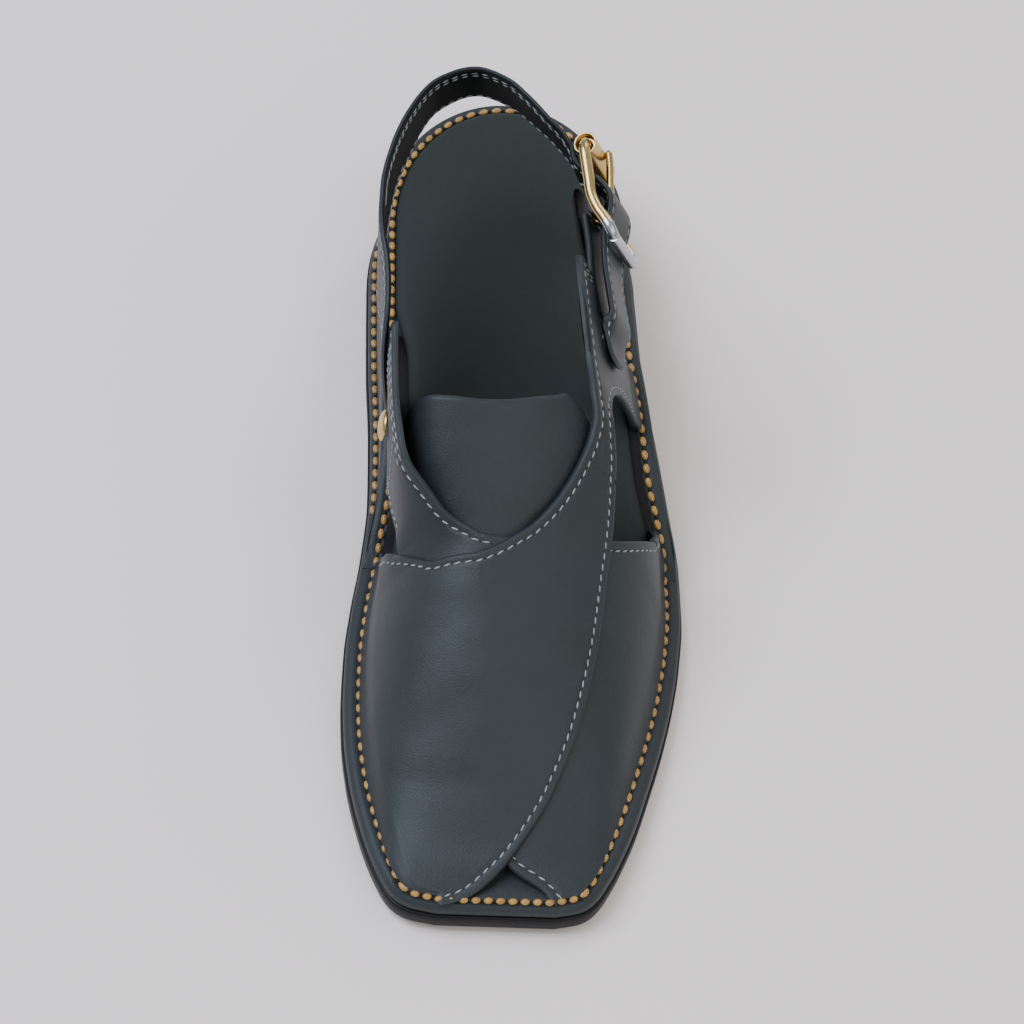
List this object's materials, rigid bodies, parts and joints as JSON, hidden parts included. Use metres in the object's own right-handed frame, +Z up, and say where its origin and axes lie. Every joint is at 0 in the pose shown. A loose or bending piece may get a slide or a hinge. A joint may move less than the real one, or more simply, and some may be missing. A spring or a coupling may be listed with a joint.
{
  "type": "embroidered chappal",
  "caption": "Open-toed leather sandal with crossing bands, a tongue, a wedge heel and a buckled heel strap, stitched round the welt.",
  "frame": {"origin": "on the floor, at the middle of the heel's flat rest", "axes": "+Z up, the toe points to -Y and the heel to +Y, +X is the outer side of a left foot"},
  "size_m": [0.099, 0.2867, 0.0987],
  "materials": {
    "leather": "smooth dark slate leather with a soft sheen",
    "footbed": "smooth padded footbed leather",
    "lining": "black lining leather",
    "rubber": "matt black sole rubber",
    "brass": "polished gold-coloured brass"
  },
  "bodies": {
    "root": {"outsole": "rubber", "welt": "leather", "heel_wedge": "leather", "insole": "footbed", "upper": "leather", "tongue": "leather", "heel_strap": "leather", "buckle_tab": "leather", "buckle_guard": "lining", "buckle_frame": "brass", "buckle_roller": "brass", "buckle_prong": "brass", "stud": "brass"}
  },
  "joints": []
}
